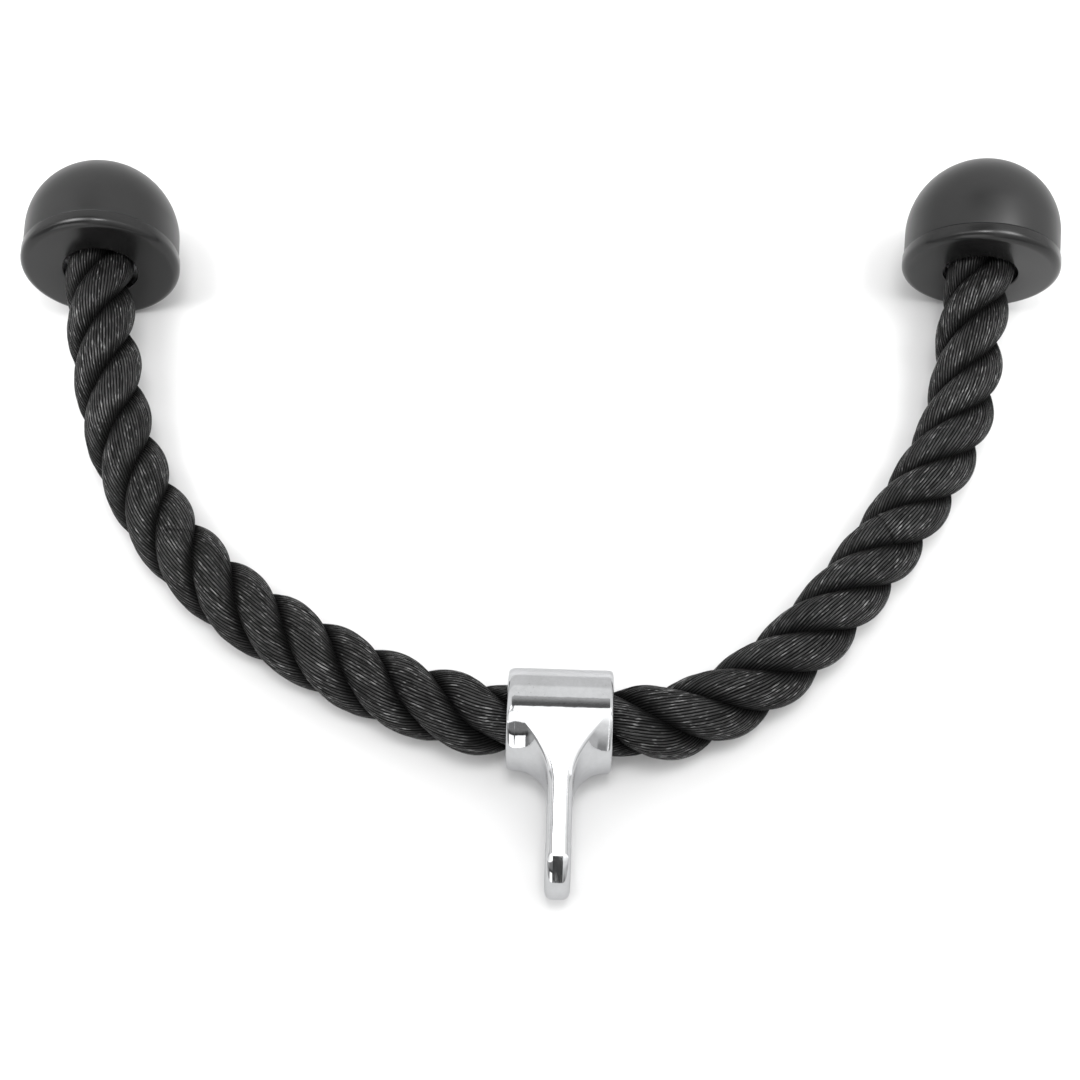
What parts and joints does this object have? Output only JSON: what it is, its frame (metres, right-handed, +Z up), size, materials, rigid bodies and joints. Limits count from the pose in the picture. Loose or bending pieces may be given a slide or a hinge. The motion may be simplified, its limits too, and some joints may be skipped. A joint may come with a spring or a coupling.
{
  "type": "triceps rope attachment",
  "caption": "Heavy laid rope through a chrome sleeve with an eye for a cable machine's clip, with a moulded stop on each rope end to pull against.",
  "frame": {"origin": "under the middle of the object's box, on the plane that it lies on", "axes": "+X from the left stop to the right stop, +Y from the eye towards the stops, +Z up off the plane it lies on"},
  "size_m": [0.4726, 0.3386, 0.0727],
  "materials": {
    "chrome": "bright polished chrome plate",
    "rope": "black filament yarn, laid, with a soft sheen",
    "stop_dome": "dark grey satin moulding",
    "stop_plate": "dark grey satin moulding, a shade darker than the dome",
    "zinc_steel": "zinc-plated steel, unpolished"
  },
  "bodies": {
    "root": {"connector": "chrome", "rope_strand_1_centre": "rope", "rope_strand_2_centre": "rope", "rope_strand_3_centre": "rope"},
    "left_inner_arm": {"rope_strand_1_left_inner_arm": "rope", "rope_strand_2_left_inner_arm": "rope", "rope_strand_3_left_inner_arm": "rope", "rope_strand_1_left_arm_bend": "rope", "rope_strand_2_left_arm_bend": "rope", "rope_strand_3_left_arm_bend": "rope"},
    "left_outer_arm": {"rope_strand_1_left_outer_arm": "rope", "rope_strand_2_left_outer_arm": "rope", "rope_strand_3_left_outer_arm": "rope", "left_ferrule": "zinc_steel", "left_thrust_washer": "zinc_steel"},
    "left_stop": {"left_base_plate": "stop_plate", "left_dome": "stop_dome"},
    "right_inner_arm": {"rope_strand_1_right_inner_arm": "rope", "rope_strand_2_right_inner_arm": "rope", "rope_strand_3_right_inner_arm": "rope", "rope_strand_1_right_arm_bend": "rope", "rope_strand_2_right_arm_bend": "rope", "rope_strand_3_right_arm_bend": "rope"},
    "right_outer_arm": {"rope_strand_1_right_outer_arm": "rope", "rope_strand_2_right_outer_arm": "rope", "rope_strand_3_right_outer_arm": "rope", "right_ferrule": "zinc_steel", "right_thrust_washer": "zinc_steel"},
    "right_stop": {"right_base_plate": "stop_plate", "right_dome": "stop_dome"}
  },
  "joints": [
    {"name": "left_sleeve_bend", "type": "hinge", "parent": "root", "child": "left_inner_arm", "pos_m": [-0.01344, -0.09868, 0.0203], "axis": [0, 0, -1], "range_deg": [-30, 23], "deforming": ["rope_strand_1_centre", "rope_strand_2_centre", "rope_strand_3_centre"]},
    {"name": "left_middle_bend", "type": "hinge", "parent": "left_inner_arm", "child": "left_outer_arm", "pos_m": [-0.1579, -0.0126, 0.01498], "axis": [0, 0, -1], "range_deg": [-30, 23], "deforming": ["rope_strand_1_left_arm_bend", "rope_strand_2_left_arm_bend", "rope_strand_3_left_arm_bend"]},
    {"name": "left_stop_spin", "type": "hinge", "parent": "left_outer_arm", "child": "left_stop", "pos_m": [-0.20102, 0.12217, 0.03528], "axis": [0.0749, -0.9957, -0.0541], "continuous": true},
    {"name": "right_sleeve_bend", "type": "hinge", "parent": "root", "child": "right_inner_arm", "pos_m": [0.02754, -0.10012, 0.0203], "axis": [0, 0, 1], "range_deg": [-30, 23], "deforming": ["rope_strand_1_centre", "rope_strand_2_centre", "rope_strand_3_centre"]},
    {"name": "right_middle_bend", "type": "hinge", "parent": "right_inner_arm", "child": "right_outer_arm", "pos_m": [0.15755, 0.00006, 0.01567], "axis": [0, 0, 1], "range_deg": [-30, 23], "deforming": ["rope_strand_1_right_arm_bend", "rope_strand_2_right_arm_bend", "rope_strand_3_right_arm_bend"]},
    {"name": "right_stop_spin", "type": "hinge", "parent": "right_outer_arm", "child": "right_stop", "pos_m": [0.20039, 0.12146, 0.0353], "axis": [-0.1271, -0.9652, -0.2284], "continuous": true}
  ],
  "couplings": [
    {"joint": "left_middle_bend", "follows": "left_sleeve_bend", "ratio": 1},
    {"joint": "right_middle_bend", "follows": "right_sleeve_bend", "ratio": 1}
  ]
}
